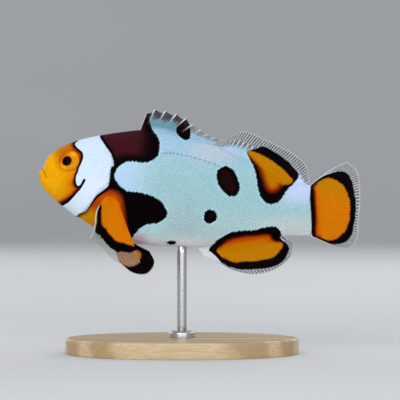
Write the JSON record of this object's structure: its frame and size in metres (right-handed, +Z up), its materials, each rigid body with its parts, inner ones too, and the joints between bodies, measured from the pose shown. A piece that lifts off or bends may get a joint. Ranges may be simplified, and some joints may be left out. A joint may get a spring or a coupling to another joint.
{
  "type": "clownfish model on a display stand",
  "caption": "Life-size still model of a swimming percula clownfish, a white and orange piebald form with black-edged marks, on a rod and oval base.",
  "frame": {"origin": "centre of the underside of the stand's base", "axes": "+X from the fish's nose towards its tail, +Y towards the fish's right side, +Z up"},
  "size_m": [0.0799, 0.036, 0.0608],
  "materials": {
    "skin": "wet-looking scaled skin, orange face, white body, black marks",
    "fins": "rayed web, orange with black border and pale margin",
    "eye": "high gloss, orange iris round a black pupil",
    "base_wood": "satin lacquered pale ash",
    "rod_steel": "satin"
  },
  "bodies": {
    "root": {"head": "skin", "upper_lip": "skin", "lower_jaw": "skin", "gill_cover_left": "skin", "gill_cover_right": "skin", "eye_left": "eye", "eye_right": "eye", "trunk": "skin", "tail_stalk": "skin", "dorsal_fin_spiny": "fins", "dorsal_fin_soft": "fins", "anal_fin": "fins", "tail_fin": "fins", "pectoral_fin_left": "fins", "pectoral_fin_right": "fins", "pelvic_fin_left": "fins", "pelvic_fin_right": "fins", "stand_base": "base_wood", "stand_collar": "rod_steel", "stand_rod": "rod_steel"}
  },
  "joints": []
}
